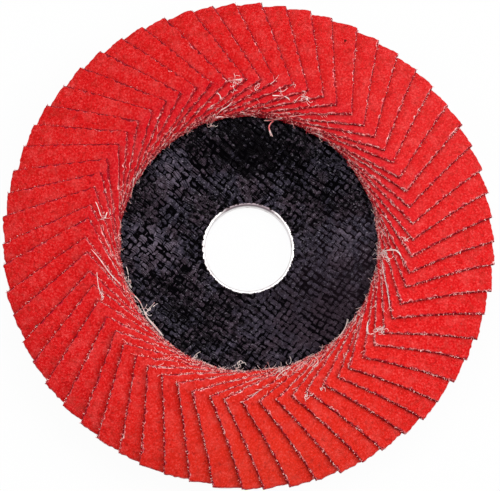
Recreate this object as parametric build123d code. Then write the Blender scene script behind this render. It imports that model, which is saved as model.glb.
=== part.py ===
"""Flap disc, 125 mm across with a 22.23 mm bore.

Frame: the origin is the centre of the bore on the clamping face at the back of the
steel centre ring. +Z points out of the working side, and +X and +Y lie in the clamping
face. Every size is in millimetres and every angle in degrees, unless a name ends in _rad.

Build-up, from the back: a steel centre ring crimped through a depressed-centre plate
of woven glass-fibre laminate, a band of resin adhesive on the plate's cone, and 62
flaps of abrasive cloth. Each flap is glued down along its tail and leans on the flap
that went down before it, so that together they wind round the disc as a helicoid.
"""
from build123d import *
from itertools import product
from math import asin, atan2, cos, hypot, radians, sin, sqrt, tan
import os

# ---- driving dimensions ----
disc_radius = 62.8          # to the tips of the flaps
bore_radius = 22.23 / 2     # standard bore of a 125 mm disc

# steel centre ring, pressed from sheet
ring_sheet = 0.6
ring_flange_radius = 17.5   # clamping flange at the back
ring_lip_radius = 12.05     # lip rolled over the front of the plate
ring_lip_height = 0.55
ring_press_gap = 0.05       # between the ring's tube and the plate's hole

# glass-fibre backing plate
plate_thickness = 2.6
plate_radius = 53.0
hub_radius = 20.5           # flat middle
shoulder_radius = 29.5      # top of the sloping wall
depression = 7.4            # depth of the flat middle below the shoulder
cone_angle = 6.0            # fall of the outer band towards the rim
plate_bend_radius = 3.2     # front side of the plate's two bends

# adhesive band
adhesive_thickness = 0.5
adhesive_inner_radius = 33.6
adhesive_margin = 0.4       # bare rim of plate outside the adhesive

# flaps
flap_count = 62
flap_thickness = 1.0        # grit, resin and cloth together
flap_gap = 0.15             # air between neighbours where they lie flat
flap_seat_gap = 0.05        # bond line between the tails and the adhesive
flap_lead = 23.4            # free edge, ahead of the flap's radial axis
flap_tail = 3.6             # glued edge, behind that axis
flap_root_radius = 33.95    # inner corner of the free edge, along the axis
flap_skew_angle = 2.6       # lean of the inner edge towards the glued end
flap_outer_bow = 1.9        # outward bow of the outer edge
droop_margin = 1.5          # bend of the flaps begins this far inside the plate's edge
droop_bend_radius = 24
flaps_per_node = 2

# facets of a flap: along it up to the droop, along the droop, and across it
facets_flat = 2
facets_droop = 3
facets_across = 4

# ---- derived dimensions ----
pitch = 360 / flap_count
pitch_rad = radians(pitch)
cone_slope = tan(radians(cone_angle))
ring_tube_radius = bore_radius + ring_sheet
plate_back = ring_sheet
plate_front = plate_back + plate_thickness
plate_hole_radius = ring_tube_radius + ring_press_gap
shoulder_height = plate_front + depression
adhesive_outer_radius = plate_radius - adhesive_margin
droop_start_radius = plate_radius - droop_margin
flap_width = flap_lead + flap_tail
flap_tip_reach = sqrt(disc_radius**2 - flap_lead**2)


def cone_height(radius):
    """Height of the plate's front on its outer band."""
    return shoulder_height - cone_slope * (radius - shoulder_radius)


def bed_height(radius):
    """Height of the surface that the flap tails lie on, carried on past the plate."""
    droop = max(0, radius - droop_start_radius)
    flat = cone_height(radius) + adhesive_thickness + flap_seat_gap
    return flat - droop**2 / (2 * droop_bend_radius)


def slant(radius):
    """Vertical thickness of a sheet lying on the bed, per millimetre of sheet."""
    droop = max(0, radius - droop_start_radius)
    return hypot(1, cone_slope + droop / droop_bend_radius)


def flap_height(reach, across):
    """Height of a flap's underside at a point given along and across its axis."""
    radius = hypot(reach, across)
    layers = (asin(flap_tail / radius) - atan2(across, reach)) / pitch_rad
    return bed_height(radius) + layers * (flap_thickness + flap_gap) * slant(radius)


def flap_columns():
    """Distances across the flap of its lines of facets, from the free edge."""
    step = flap_width / facets_across
    return [index * step - flap_lead for index in range(facets_across + 1)]


def flap_reaches(across):
    """Distances along the flap of its rows of facets, on one line across it."""
    share = (across + flap_lead) / flap_width
    root = flap_root_radius - tan(radians(flap_skew_angle)) * share * flap_width
    crease = sqrt(droop_start_radius**2 - across**2)
    tip = flap_tip_reach + 4 * flap_outer_bow * share * (1 - share)
    flat = [root + (crease - root) * row / facets_flat for row in range(facets_flat)]
    droop = [crease + (tip - crease) * row / facets_droop for row in range(facets_droop + 1)]
    return flat + droop


def flap_corners():
    """Underside and top corners of the facets, as {(column, row): (under, top)}."""
    corners = {}
    for column, across in enumerate(flap_columns()):
        for row, reach in enumerate(flap_reaches(across)):
            under = Vector(reach, across, flap_height(reach, across))
            rise = flap_thickness * slant(hypot(reach, across))
            corners[column, row] = (under, under + Vector(0, 0, rise))
    return corners


def facet(*points):
    """Flat face through the points."""
    return Face(Wire.make_polygon(points, close=True))


def cell_facets(corners, column, row):
    """The two triangles of one cell, on the underside and on the top."""
    near, far = (column, row), (column + 1, row + 1)
    sides = ((column + 1, row), (column, row + 1))
    return [
        facet(corners[near][layer], corners[side][layer], corners[far][layer])
        for layer, side in product((0, 1), sides)
    ]


def edge_facet(corners, start, end):
    """Upright face along one step of the flap's outline."""
    return facet(corners[start][0], corners[end][0], corners[end][1], corners[start][1])


def flap():
    """One flap, its axis along +X and its free edge towards -Y."""
    corners = flap_corners()
    columns, rows = facets_across, facets_flat + facets_droop
    faces = []
    for column, row in product(range(columns), range(rows)):
        faces += cell_facets(corners, column, row)
    for column, row in product(range(columns), (0, rows)):
        faces.append(edge_facet(corners, (column, row), (column + 1, row)))
    for row, column in product(range(rows), (0, columns)):
        faces.append(edge_facet(corners, (column, row), (column, row + 1)))
    return Solid(Shell(faces))


def turned(profile):
    """Solid of revolution from a profile drawn in the XZ plane."""
    return revolve(Plane.XZ * profile, axis=Axis.Z)


def backing_plate():
    """Depressed-centre laminate plate of even thickness."""
    front = FilletPolyline(
        (plate_hole_radius, plate_front),
        (hub_radius, plate_front),
        (shoulder_radius, shoulder_height),
        (plate_radius, cone_height(plate_radius)),
        radius=plate_bend_radius,
    )
    section = offset(front, plate_thickness, side=Side.RIGHT)
    return turned(make_face(section))


def centre_ring():
    """Pressed steel ring: clamping flange, tube through the plate and rolled lip."""
    lip_top = plate_front + ring_lip_height
    flange = Pos(bore_radius, 0) * Rectangle(
        ring_flange_radius - bore_radius, ring_sheet, align=Align.MIN
    )
    tube = Pos(bore_radius, 0) * Rectangle(ring_sheet, lip_top, align=Align.MIN)
    lip = Pos(bore_radius, plate_front) * Rectangle(
        ring_lip_radius - bore_radius, ring_lip_height, align=Align.MIN
    )
    section = flange + tube + lip
    rolled = section.vertices().filter_by(lambda corner: abs(corner.Y - lip_top) < 1e-6)
    section = fillet(rolled, ring_lip_height * 0.8)
    return turned(section)


def adhesive_ring():
    """Cured adhesive between the plate's cone and the tails of the flaps."""
    inner, outer = adhesive_inner_radius, adhesive_outer_radius
    section = Polyline(
        (inner, cone_height(inner)),
        (outer, cone_height(outer)),
        (outer, cone_height(outer) + adhesive_thickness),
        (inner, cone_height(inner) + adhesive_thickness),
        close=True,
    )
    return turned(make_face(section))


def flap_nodes():
    """Nodes of neighbouring flaps, counted round the disc from +X."""
    pattern = flap()
    nodes = {}
    for first in range(0, flap_count, flaps_per_node):
        group = [Rot(Z=pitch * (first + place)) * pattern for place in range(flaps_per_node)]
        nodes[f"flap_pair_{first // flaps_per_node + 1:02d}"] = Compound(group)
    return nodes


os.makedirs("parts", exist_ok=True)
nodes = {
    "centre_ring": centre_ring(),
    "backing_plate": backing_plate(),
    "adhesive_ring": adhesive_ring(),
    **flap_nodes(),
}
for name, shape in nodes.items():
    shape.label = name
    export_step(shape, f"parts/{name}.step")
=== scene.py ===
"""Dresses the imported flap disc: abrasive flaps, woven backing plate, steel ring and frayed fibres."""

import logging
import math
import random
from dataclasses import dataclass, field
from enum import Enum
from typing import Iterator, Optional, Sequence, Union

import bmesh
import bpy
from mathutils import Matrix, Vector, noise


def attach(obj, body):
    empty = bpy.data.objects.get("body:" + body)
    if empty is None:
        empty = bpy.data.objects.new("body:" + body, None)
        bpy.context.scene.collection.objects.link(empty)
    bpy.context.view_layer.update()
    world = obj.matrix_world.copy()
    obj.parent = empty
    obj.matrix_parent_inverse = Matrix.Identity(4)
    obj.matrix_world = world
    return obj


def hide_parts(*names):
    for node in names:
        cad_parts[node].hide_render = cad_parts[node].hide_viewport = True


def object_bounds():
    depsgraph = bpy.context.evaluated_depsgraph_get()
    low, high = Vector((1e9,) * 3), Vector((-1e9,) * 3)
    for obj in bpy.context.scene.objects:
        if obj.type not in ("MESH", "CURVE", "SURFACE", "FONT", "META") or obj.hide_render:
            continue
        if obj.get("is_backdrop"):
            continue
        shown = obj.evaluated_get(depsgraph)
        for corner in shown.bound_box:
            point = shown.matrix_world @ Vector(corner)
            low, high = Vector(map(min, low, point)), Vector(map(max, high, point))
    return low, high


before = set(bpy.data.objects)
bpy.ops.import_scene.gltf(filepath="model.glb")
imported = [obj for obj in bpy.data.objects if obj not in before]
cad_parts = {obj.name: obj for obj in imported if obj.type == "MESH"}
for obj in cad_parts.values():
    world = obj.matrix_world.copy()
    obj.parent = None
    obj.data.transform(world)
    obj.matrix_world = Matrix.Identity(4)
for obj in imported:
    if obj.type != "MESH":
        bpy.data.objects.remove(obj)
cad_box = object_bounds()

log = logging.getLogger("flap_disc")

MM = 0.001
BODY = "root"

Colour = tuple[float, float, float, float]
Input = Union["Value", float, Sequence[float]]


def srgb(red: float, green: float, blue: float) -> Colour:
    """Linear colour of a display colour.

    Args:
        red: Red, 0 to 255.
        green: Green, 0 to 255.
        blue: Blue, 0 to 255.

    Returns:
        The colour as Blender's sockets take it, with an alpha of 1.
    """

    def linear(channel: float) -> float:
        """Linear value of one display channel."""
        share = channel / 255
        return share / 12.92 if share <= 0.04045 else ((share + 0.055) / 1.055) ** 2.4

    return (linear(red), linear(green), linear(blue), 1.0)


def polar(angle: float, reach: float = 1.0, height: float = 0.0) -> Vector:
    """Place, or direction, at an angle round the disc's axis."""
    return Vector((reach * math.cos(angle), reach * math.sin(angle), height))


def added(name: str, data: bpy.types.ID) -> bpy.types.Object:
    """Puts an object with its data into the scene.

    Args:
        name: The object's name.
        data: Its mesh, lamp or camera.

    Returns:
        The object.
    """
    made = bpy.data.objects.new(name, data)
    bpy.context.scene.collection.objects.link(made)
    return made


# ---- shader expressions ----


@dataclass(frozen=True)
class Value:
    """An output socket that takes part in Python expressions."""

    graph: "Graph"
    socket: bpy.types.NodeSocket

    def math(self, operation: str, *others: Input) -> "Value":
        """Result of a Math node whose first input is this value."""
        inputs = dict(enumerate((self, *others)))
        return self.graph.node("ShaderNodeMath", {"operation": operation}, inputs)

    def __add__(self, other: Input) -> "Value":
        """This value plus another."""
        return self.math("ADD", other)

    __radd__ = __add__

    def __sub__(self, other: Input) -> "Value":
        """This value less another."""
        return self.math("SUBTRACT", other)

    def __rsub__(self, other: float) -> "Value":
        """A number less this value."""
        return self * -1.0 + other

    def __mul__(self, other: Input) -> "Value":
        """This value times another."""
        return self.math("MULTIPLY", other)

    __rmul__ = __mul__

    def __truediv__(self, other: Input) -> "Value":
        """This value over another."""
        return self.math("DIVIDE", other)

    def band(self, low: float, high: float) -> "Value":
        """Smooth step.

        Args:
            low: Where it starts.
            high: Where it ends.

        Returns:
            0 below low, 1 above high and smooth between them.
        """
        settings = {"interpolation_type": "SMOOTHSTEP"}
        inputs = {"Value": self, "From Min": low, "From Max": high}
        return self.graph.node("ShaderNodeMapRange", settings, inputs)


class Graph:
    """The node tree of one new material or world, built up from expressions."""

    def __init__(self, name: str, world: bool = False) -> None:
        """Starts a material or a world with only its output node.

        Args:
            name: Its name.
            world: Whether it is a world.
        """
        self.owner = (bpy.data.worlds if world else bpy.data.materials).new(name)
        self.owner.use_nodes = True
        self.tree = self.owner.node_tree
        self.tree.nodes.clear()
        self.output = self.tree.nodes.new("ShaderNodeOutputWorld" if world else "ShaderNodeOutputMaterial")

    def node(
        self,
        kind: str,
        settings: Optional[dict[str, object]] = None,
        inputs: Optional[dict[Union[str, int], Input]] = None,
        output: Union[str, int] = 0,
    ) -> Value:
        """Adds a node.

        Args:
            kind: The node's type.
            settings: Its properties.
            inputs: Numbers, colours or values for its sockets, by name or index.
            output: Which of its outputs is meant.

        Returns:
            That output.
        """
        made = self.tree.nodes.new(kind)
        for name, setting in (settings or {}).items():
            setattr(made, name, setting)
        for name, given in (inputs or {}).items():
            if isinstance(given, Value):
                self.tree.links.new(given.socket, made.inputs[name])
            else:
                made.inputs[name].default_value = given
        return Value(self, made.outputs[output])

    def place(self) -> Value:
        """Object coordinates, in metres."""
        return self.node("ShaderNodeTexCoord", output="Object")

    def sheet_place(self) -> Value:
        """The piece's own UV map, in metres along and across the cloth."""
        return self.node("ShaderNodeTexCoord", output="UV")

    def axis(self, place: Value, name: str) -> Value:
        """One of the three parts of coordinates, by its letter."""
        return self.node("ShaderNodeSeparateXYZ", None, {0: place}, name)

    def grain(self, place: Value, size: float, detail: float = 2.0, rough: float = 0.5) -> Value:
        """Soft noise.

        Args:
            place: The coordinates that it follows.
            size: Its largest features, in metres.
            detail: Finer octaves.
            rough: Weight of the finer octaves.

        Returns:
            Values around 0.5.
        """
        inputs = {"Vector": place, "Scale": 1 / size, "Detail": detail, "Roughness": rough}
        return self.node("ShaderNodeTexNoise", None, inputs)

    def cells(self, place: Value, size: float) -> Value:
        """Distance to the nearest of points scattered at a spacing in metres, in spacings."""
        return self.node("ShaderNodeTexVoronoi", None, {"Vector": place, "Scale": 1 / size})

    def away(self, place: Value, x: float = 0.0, y: float = 0.0) -> Value:
        """Distance from a spot of the disc, in metres, seen along the disc's axis."""
        flat = self.node("ShaderNodeVectorMath", {"operation": "MULTIPLY"}, {0: place, 1: (1, 1, 0)})
        return self.node("ShaderNodeVectorMath", {"operation": "DISTANCE"}, {0: flat, 1: (x, y, 0)}, "Value")

    def mix(self, share: Input, first: Input, second: Input) -> Value:
        """Blend of two colours, by the share of the second one."""
        settings = {"data_type": "RGBA"}
        return self.node("ShaderNodeMix", settings, {0: share, 6: first, 7: second}, 2)

    def bump(self, height: Value, depth: float) -> Value:
        """Normal of a relief whose height goes from 0 to 1, by its depth in metres."""
        return self.node("ShaderNodeBump", None, {"Strength": 1.0, "Distance": depth, "Height": height})

    def finish(self, **sockets: Input) -> bpy.types.Material:
        """Ends the material in one Principled shader.

        Args:
            sockets: The shader's inputs, with underscores for spaces.

        Returns:
            The material.
        """
        inputs = {name.replace("_", " "): given for name, given in sockets.items()}
        return self.end(self.node("ShaderNodeBsdfPrincipled", None, inputs))

    def end(self, shader: Value) -> Union[bpy.types.Material, bpy.types.World]:
        """Ends the material or the world in a shader."""
        self.tree.links.new(shader.socket, self.output.inputs["Surface"])
        return self.owner

    def seen(self) -> Value:
        """1 for rays that show the backdrop itself, and 0 for those that gather light.

        Returns:
            The share, for rays straight from the camera, off gloss or through glass.
        """
        kinds = ("Camera", "Glossy", "Transmission")
        camera, glossy, clear = (self.node("ShaderNodeLightPath", output=f"Is {kind} Ray") for kind in kinds)
        return camera.math("MAXIMUM", glossy).math("MAXIMUM", clear)


# ---- finishes ----


@dataclass(frozen=True)
class Spot:
    """A round part of the disc where a finish changes.

    Attributes:
        x: Place of its middle across the disc, in metres.
        y: Place of its middle up the disc, in metres.
        reach: How far from the middle it fades out, in metres.
        share: How much of the change shows at the most; below 0 it goes the other way.
        solid: Within this distance, in metres, it shows in full.
        rag: How far its edge wanders in and out, in metres.
    """

    x: float
    y: float
    reach: float
    share: float
    solid: float = 0.0
    rag: float = 0.0

    def shown(self, graph: Graph, place: Value) -> Value:
        """How much of the change shows.

        Args:
            graph: The material's graph.
            place: Object coordinates.

        Returns:
            The share in the middle, 0 away from it.
        """
        away = graph.away(place, self.x, self.y)
        if self.rag:
            away += (graph.grain(place, self.reach) - 0.5) * self.rag
        return (1 - away.band(self.solid, self.reach)) * self.share


@dataclass(frozen=True)
class Tint:
    """A round part of the disc where a finish takes on another colour."""

    spot: Spot
    colour: Colour

    def over(self, graph: Graph, place: Value, colour: Input) -> Value:
        """The finish's own colour with the tint over it."""
        return graph.mix(self.spot.shown(graph, place), colour, self.colour)


@dataclass(frozen=True)
class GritFinish:
    """Red ceramic grit under its size coat, on the working side of the flaps, with pale specks that are
    partly painted sheen and painted light towards the upper right.
    """

    deep: Colour = srgb(194, 9, 11)
    body: Colour = srgb(222, 25, 27)
    pale: Colour = srgb(246, 108, 104)
    dark_grain: Colour = srgb(128, 8, 8)
    scorched: Colour = srgb(176, 44, 34)
    grain_size: float = 0.5 * MM
    blotch_size: float = 5 * MM
    scorch_size: float = 1.7 * MM
    scorch_start: float = 46 * MM
    scorch_full: float = 62 * MM
    grit_size: float = 0.6 * MM
    relief: float = 0.12 * MM
    patch_size: float = 3 * MM
    # An orange cast towards the bottom, which is the grit's own tone, and painted light: paler towards the
    # upper right.
    tone_and_light_tints: tuple[Tint, ...] = (
        Tint(Spot(6 * MM, -62 * MM, 62 * MM, 0.28), srgb(222, 72, 32)),
        Tint(Spot(46 * MM, 40 * MM, 60 * MM, 0.08), srgb(240, 98, 98)),
    )
    crimson: Tint = Tint(Spot(0.0, 22 * MM, 62 * MM, 0.16, 31 * MM), srgb(212, 16, 60))
    crimson_edge: tuple[float, float] = (38 * MM, 46 * MM)
    nicks: tuple[Tint, ...] = (
        Tint(Spot(-53.3 * MM, -22.9 * MM, 0.6 * MM, 1.0, 0.27 * MM, 0.96 * MM), srgb(128, 92, 88)),
        Tint(Spot(23.6 * MM, 53.0 * MM, 0.5 * MM, 1.0, 0.225 * MM, 0.8 * MM), srgb(90, 20, 18)),
    )

    def material(self) -> bpy.types.Material:
        """Makes the grit's material.

        Returns:
            The material.
        """
        graph = Graph("red_grit")
        place = graph.place()
        fine = graph.grain(place, self.grain_size, 3.0, 0.6)
        blotch = graph.grain(place, self.blotch_size)
        cells = graph.cells(place, self.grit_size)
        colour = graph.mix(fine.band(0.32, 0.54), self.deep, self.body)
        patch = graph.grain(place, self.patch_size, 3.0, 0.6)
        # Pale specks and patches: partly the grit's own tone, partly painted sheen off the grains.
        colour = graph.mix(fine.band(0.5, 0.7) * 0.38 + patch.band(0.45, 0.7) * 0.17, colour, self.pale)
        for tint in self.tone_and_light_tints:
            colour = tint.over(graph, place, colour)
        inward = 1 - graph.away(place).band(*self.crimson_edge)
        colour = graph.mix(self.crimson.spot.shown(graph, place) * inward, colour, self.crimson.colour)
        colour = graph.mix(blotch.band(0.45, 0.75) * 0.25, colour, self.deep)
        colour = graph.mix(self._scorch(graph, place), colour, self.scorched)
        sparse = graph.grain(place, self.grit_size * 1.6, 0.0)
        colour = graph.mix(sparse.band(0.68, 0.76) * 0.3, colour, self.dark_grain)
        for nick in self.nicks:
            colour = nick.over(graph, place, colour)
        relief = fine * 0.6 + cells.band(0.0, 0.6) * 0.4
        return graph.finish(
            Base_Color=colour,
            Roughness=0.78 + fine * 0.2,
            Specular_IOR_Level=0.1,
            Normal=graph.bump(relief, self.relief),
        )

    def _scorch(self, graph: Graph, place: Value) -> Value:
        """Share of the coarse brownish mottling, which is stronger towards the rim."""
        share = graph.away(place).band(self.scorch_start, self.scorch_full) * 0.3 + 0.1
        return graph.grain(place, self.scorch_size, 3.0, 0.6).band(0.48, 0.66) * share


@dataclass(frozen=True)
class CleanCut:
    """Where the cloth is cut cleanly: along the free edges, and most of all on one side of the disc."""

    side: Spot = Spot(-58 * MM, 22 * MM, 85 * MM, 0.42, 35 * MM)
    elsewhere: float = 0.16
    outward: tuple[float, float] = (36 * MM, 44 * MM)

    def share(self, graph: Graph, place: Value) -> Value:
        """How clean the cut is: 0 at the flaps' inner ends, and more along their free edges."""
        return graph.away(place).band(*self.outward) * (self.side.shown(graph, place) + self.elsewhere)


@dataclass(frozen=True)
class FibreBandFinish:
    """Fibre ends along a cut edge, bare where the grit has chipped off, with painted shade over them on the
    upper left of the disc.
    """

    red: Colour = srgb(196, 16, 42)
    pink: Colour = srgb(248, 124, 126)
    fibre: Colour = srgb(255, 224, 220)
    step: float = 0.6 * MM
    clean: CleanCut = CleanCut()
    # Painted shade: the band's red is darkened towards the upper left of the disc.
    painted_shade: Tint = Tint(Spot(-12 * MM, 34 * MM, 44 * MM, 0.62, 22 * MM), srgb(96, 4, 14))

    def material(self) -> bpy.types.Material:
        """Makes the fibre band's material.

        Returns:
            The material.
        """
        graph = Graph("fibre_band")
        place = graph.place()
        broken = graph.grain(place, self.step, 3.0, 0.65)
        wide = graph.grain(place, self.step * 8)
        bare = broken + (wide - 0.5) * 0.6 - self.clean.share(graph, place) * 0.2
        colour = graph.mix(bare.band(0.42, 0.54), self.painted_shade.over(graph, place, self.red), self.pink)
        colour = graph.mix(bare.band(0.57, 0.66), colour, self.fibre)
        return graph.finish(
            Base_Color=colour,
            Roughness=0.9,
            Specular_IOR_Level=0.2,
            Normal=graph.bump(broken, 0.1 * MM),
        )


@dataclass(frozen=True)
class ResinBandFinish:
    """Resin-soaked cloth along a cut edge."""

    resin: Colour = srgb(120, 3, 14)
    worn: Colour = srgb(200, 30, 40)
    step: float = 0.7 * MM

    def material(self) -> bpy.types.Material:
        """Makes the resin band's material.

        Returns:
            The material.
        """
        graph = Graph("resin_band")
        broken = graph.grain(graph.place(), self.step, 3.0, 0.65)
        return graph.finish(
            Base_Color=graph.mix(broken.band(0.46, 0.68), self.resin, self.worn),
            Roughness=0.85,
            Specular_IOR_Level=0.2,
            Normal=graph.bump(broken, 0.1 * MM),
        )


@dataclass(frozen=True)
class ClothBackFinish:
    """Resin-filled twill on the underside of the flaps."""

    resin: Colour = srgb(120, 44, 36)
    yarn: Colour = srgb(166, 78, 62)
    pitch: float = 0.7 * MM

    def material(self) -> bpy.types.Material:
        """Makes the cloth's material.

        Returns:
            The material.
        """
        graph = Graph("cloth_back")
        along, across = (graph.axis(graph.sheet_place(), name) for name in "XY")
        turn = 2 * math.pi / self.pitch
        ribs = ((along + across) * turn).math("SINE") * 0.5 + 0.5
        cross = ((along - across) * turn * 2).math("SINE") * 0.5 + 0.5
        relief = ribs * 0.75 + cross * 0.25
        wear = graph.grain(graph.place(), self.pitch * 6, 3.0)
        colour = graph.mix(relief * wear.band(0.2, 0.7), self.resin, self.yarn)
        return graph.finish(
            Base_Color=colour,
            Roughness=0.85,
            Normal=graph.bump(relief, 0.08 * MM),
        )


class Yarns(Enum):
    """The two sets of yarns of a plain weave."""

    WARP = 0
    WEFT = 1


@dataclass(frozen=True)
class WovenLaminateFinish:
    """Black glass-fibre cloth in resin: streaky bundles in an uneven plain weave, with painted sheen and
    painted glints on their crowns.
    """

    gap: Colour = srgb(2, 1, 3)
    warm: Colour = srgb(38, 30, 36)
    cool: Colour = srgb(36, 35, 45)
    shine: Colour = srgb(84, 80, 92)
    glint: Colour = srgb(150, 146, 150)
    pitch: float = 1.42 * MM
    turn: float = math.radians(35)
    stray: float = 1.5 * MM
    shake: float = 0.45 * MM
    openness: float = 8 * MM
    relief: float = 0.3 * MM
    cloud_size: float = 7 * MM
    fleck_size: float = 0.45 * MM
    dye_size: float = 11 * MM
    haze: Tint = Tint(Spot(31 * MM, -6 * MM, 26 * MM, 0.65), srgb(34, 24, 31))

    def material(self) -> bpy.types.Material:
        """Makes the laminate's material.

        Returns:
            The material.
        """
        graph = Graph("woven_laminate")
        place = graph.place()
        inputs = {"Vector": self._strayed(graph, place), "Rotation": (0, 0, self.turn)}
        turned = graph.node("ShaderNodeMapping", None, inputs)
        warp, weft = (graph.axis(turned, name) / self.pitch for name in "XY")
        loose = graph.grain(place, self.openness, 2.0).band(0.36, 0.64)
        warp_over = self._bundle(warp, weft, loose, Yarns.WARP)
        weft_over = self._bundle(weft, warp, loose, Yarns.WEFT)
        height = warp_over.math("MAXIMUM", weft_over)
        on_warp = warp_over.math("GREATER_THAN", weft_over)
        strands = self._filaments(graph, warp, weft) * on_warp
        strands += self._filaments(graph, weft, warp) * (1 - on_warp)
        luck = self._luck(graph, warp, weft)
        cloud = graph.grain(place, self.cloud_size, 3.0)
        fleck = graph.grain(place, self.fleck_size)
        yarn = graph.mix(graph.grain(place, self.dye_size, 1.0).band(0.42, 0.58), self.warm, self.cool)
        colour = graph.mix((height + (fleck - 0.5) * 1.2).band(0.0, 0.75), self.gap, yarn)
        colour = graph.mix(self._hole(warp, weft) * 0.85, colour, self.gap)
        # Painted sheen on the bundles' crowns, then painted glints along the warp.
        lit = height * (strands * 0.75 + luck * 0.35 + fleck * 0.4 + (cloud - 0.5) * 1.3)
        colour = graph.mix(lit.band(0.45, 1.35) * 0.6, colour, self.shine)
        colour = graph.mix(self._glints(graph, turned) * height.band(0.2, 0.7), colour, self.glint)
        relief = height * (luck * 0.3 + 0.7) * 0.75 + strands * height * 0.25
        front = graph.axis(graph.node("ShaderNodeNewGeometry", output="Normal"), "Z").band(0.0, 0.2)
        colour = graph.mix(front, colour, self.haze.over(graph, place, self.gap))
        return graph.finish(
            Base_Color=colour,
            Roughness=0.55 + strands * 0.2,
            Specular_IOR_Level=0.02,
            Normal=graph.bump(relief, self.relief),
        )

    def _strayed(self, graph: Graph, place: Value) -> Value:
        """Coordinates that wander a little, so that the bundles don't run straight.

        Args:
            graph: The material's graph.
            place: Object coordinates.

        Returns:
            The bent coordinates.
        """
        bent = place
        for size, detail, reach in ((6 * MM, 3.0, self.stray), (0.9 * MM, 1.0, self.shake)):
            inputs = {"Vector": place, "Scale": 1 / size, "Detail": detail}
            wander = graph.node("ShaderNodeTexNoise", None, inputs, "Color")
            drift = graph.node("ShaderNodeVectorMath", {"operation": "SCALE"}, {0: wander, "Scale": reach})
            bent = graph.node("ShaderNodeVectorMath", {"operation": "ADD"}, {0: bent, 1: drift})
        return bent

    @staticmethod
    def _bundle(along: Value, across: Value, loose: Value, yarns: Yarns) -> Value:
        """Height of one set of bundles over the cloth.

        Args:
            along: Place along the bundles, in pitches.
            across: Place across them, in pitches.
            loose: 0 where the bundles lie shoulder to shoulder, 1 where they are apart.
            yarns: Which set they are; where one set is up, the other is down.

        Returns:
            1 on the crown of a crossing, 0 between bundles and where they dive.
        """
        width = 0.5 - (across.math("FRACT") - 0.5).math("ABSOLUTE")
        odd = (across.math("FLOOR") * 0.5).math("FRACT") * 4 - 1
        sign = {Yarns.WARP: 1.0, Yarns.WEFT: -1.0}[yarns]
        wave = (along * math.pi).math("SINE") * odd * -sign
        reach = {Yarns.WARP: 0.45, Yarns.WEFT: 0.15}[yarns]
        return width.band(-0.04, loose * 0.22 + 0.12) * (wave + reach - loose * 0.25).band(-0.4, 0.9)

    @staticmethod
    def _hole(warp: Value, weft: Value) -> Value:
        """Mask of the small holes where four bundles meet, by the place in pitches."""
        near = [0.5 - (side.math("FRACT") - 0.5).math("ABSOLUTE") for side in (warp, weft)]
        return 1 - (near[0] * near[0] + near[1] * near[1]).math("SQRT").band(0.06, 0.28)

    @staticmethod
    def _glints(graph: Graph, turned: Value) -> Value:
        """Painted glints: brightness of sparse filaments, longer than a crossing, that run with the warp."""
        stretched = graph.node("ShaderNodeMapping", None, {"Vector": turned, "Scale": (0.16, 1.0, 1.0)})
        return graph.grain(stretched, 0.42 * MM, 1.0).band(0.66, 0.8) * 0.6

    @staticmethod
    def _luck(graph: Graph, warp: Value, weft: Value) -> Value:
        """One number from 0 to 1 for each crossing, by the place in pitches."""
        cell = graph.node("ShaderNodeCombineXYZ", None, {"X": warp.math("FLOOR"), "Y": weft.math("FLOOR")})
        return graph.node("ShaderNodeTexWhiteNoise", {"noise_dimensions": "3D"}, {"Vector": cell})

    @staticmethod
    def _filaments(graph: Graph, along: Value, across: Value) -> Value:
        """Fine streaks from 0 to 1 that run with a bundle, by the place in pitches."""
        stretched = graph.node("ShaderNodeCombineXYZ", None, {"X": along * 0.8, "Y": across * 4.0})
        return graph.grain(stretched, 1.0, 2.0, 0.6).band(0.32, 0.68)


@dataclass(frozen=True)
class BundleFinish:
    """Black glass-fibre bundles under a coat of resin, with painted light and shade on parts of the hub and
    painted glints.
    """

    dark: Colour = srgb(4, 2, 5)
    warm: Colour = srgb(68, 55, 66)
    cool: Colour = srgb(61, 56, 70)
    pale: Colour = srgb(120, 108, 124)
    glint: Colour = srgb(176, 170, 182)
    # Painted light and shade: spots below 0 darken the bundles, most of all on the top of the hub's wall;
    # spots above 0 lighten them, most of all on its left side.
    painted_light_and_shade: tuple[Spot, ...] = (
        Spot(-1 * MM, 26 * MM, 13 * MM, -0.17),
        Spot(10 * MM, 24 * MM, 11 * MM, -0.1),
        Spot(-25.5 * MM, -1 * MM, 12 * MM, 0.28),
        Spot(-19 * MM, 17 * MM, 10 * MM, 0.2),
        Spot(-17 * MM, -18 * MM, 8 * MM, -0.1),
        Spot(25 * MM, 1 * MM, 11 * MM, 0.16),
        Spot(12 * MM, -23 * MM, 14 * MM, 0.08),
        Spot(0 * MM, 17 * MM, 6 * MM, 0.12),
        Spot(-17 * MM, 0 * MM, 6 * MM, -0.06),
    )
    haze: Tint = Tint(Spot(19 * MM, -19 * MM, 32 * MM, 0.62), srgb(58, 45, 55))
    patch_size: float = 7 * MM
    mottle_size: float = 1.2 * MM
    speck_size: float = 0.35 * MM
    dye_size: float = 6 * MM

    def material(self) -> bpy.types.Material:
        """Makes the bundles' material.

        Returns:
            The material.
        """
        graph = Graph("glass_bundles")
        place = graph.place()
        patch = graph.grain(place, self.patch_size)
        mottle = graph.grain(place, self.mottle_size, 3.0, 0.6)
        speck = graph.grain(place, self.speck_size, 1.0)
        tint = graph.mix(graph.grain(place, self.dye_size).band(0.42, 0.58), self.warm, self.cool)
        # The bundles' random tone, plus the painted light and shade of the spots.
        level = mottle + (patch - 0.5) * 0.3
        for spot in self.painted_light_and_shade:
            level += spot.shown(graph, place)
        colour = graph.mix(level.band(0.4, 0.58), self.dark, tint)
        colour = graph.mix(level.band(0.58, 0.82) * 0.8, colour, self.pale)
        # Painted glints: sparse specks turned towards a pale grey.
        colour = graph.mix(speck.band(0.6, 0.74) * level.band(0.35, 0.5) * 0.7, colour, self.glint)
        return graph.finish(
            Base_Color=self.haze.over(graph, place, colour),
            Roughness=0.35 + mottle * 0.2,
            Specular_IOR_Level=0.06,
        )


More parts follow.
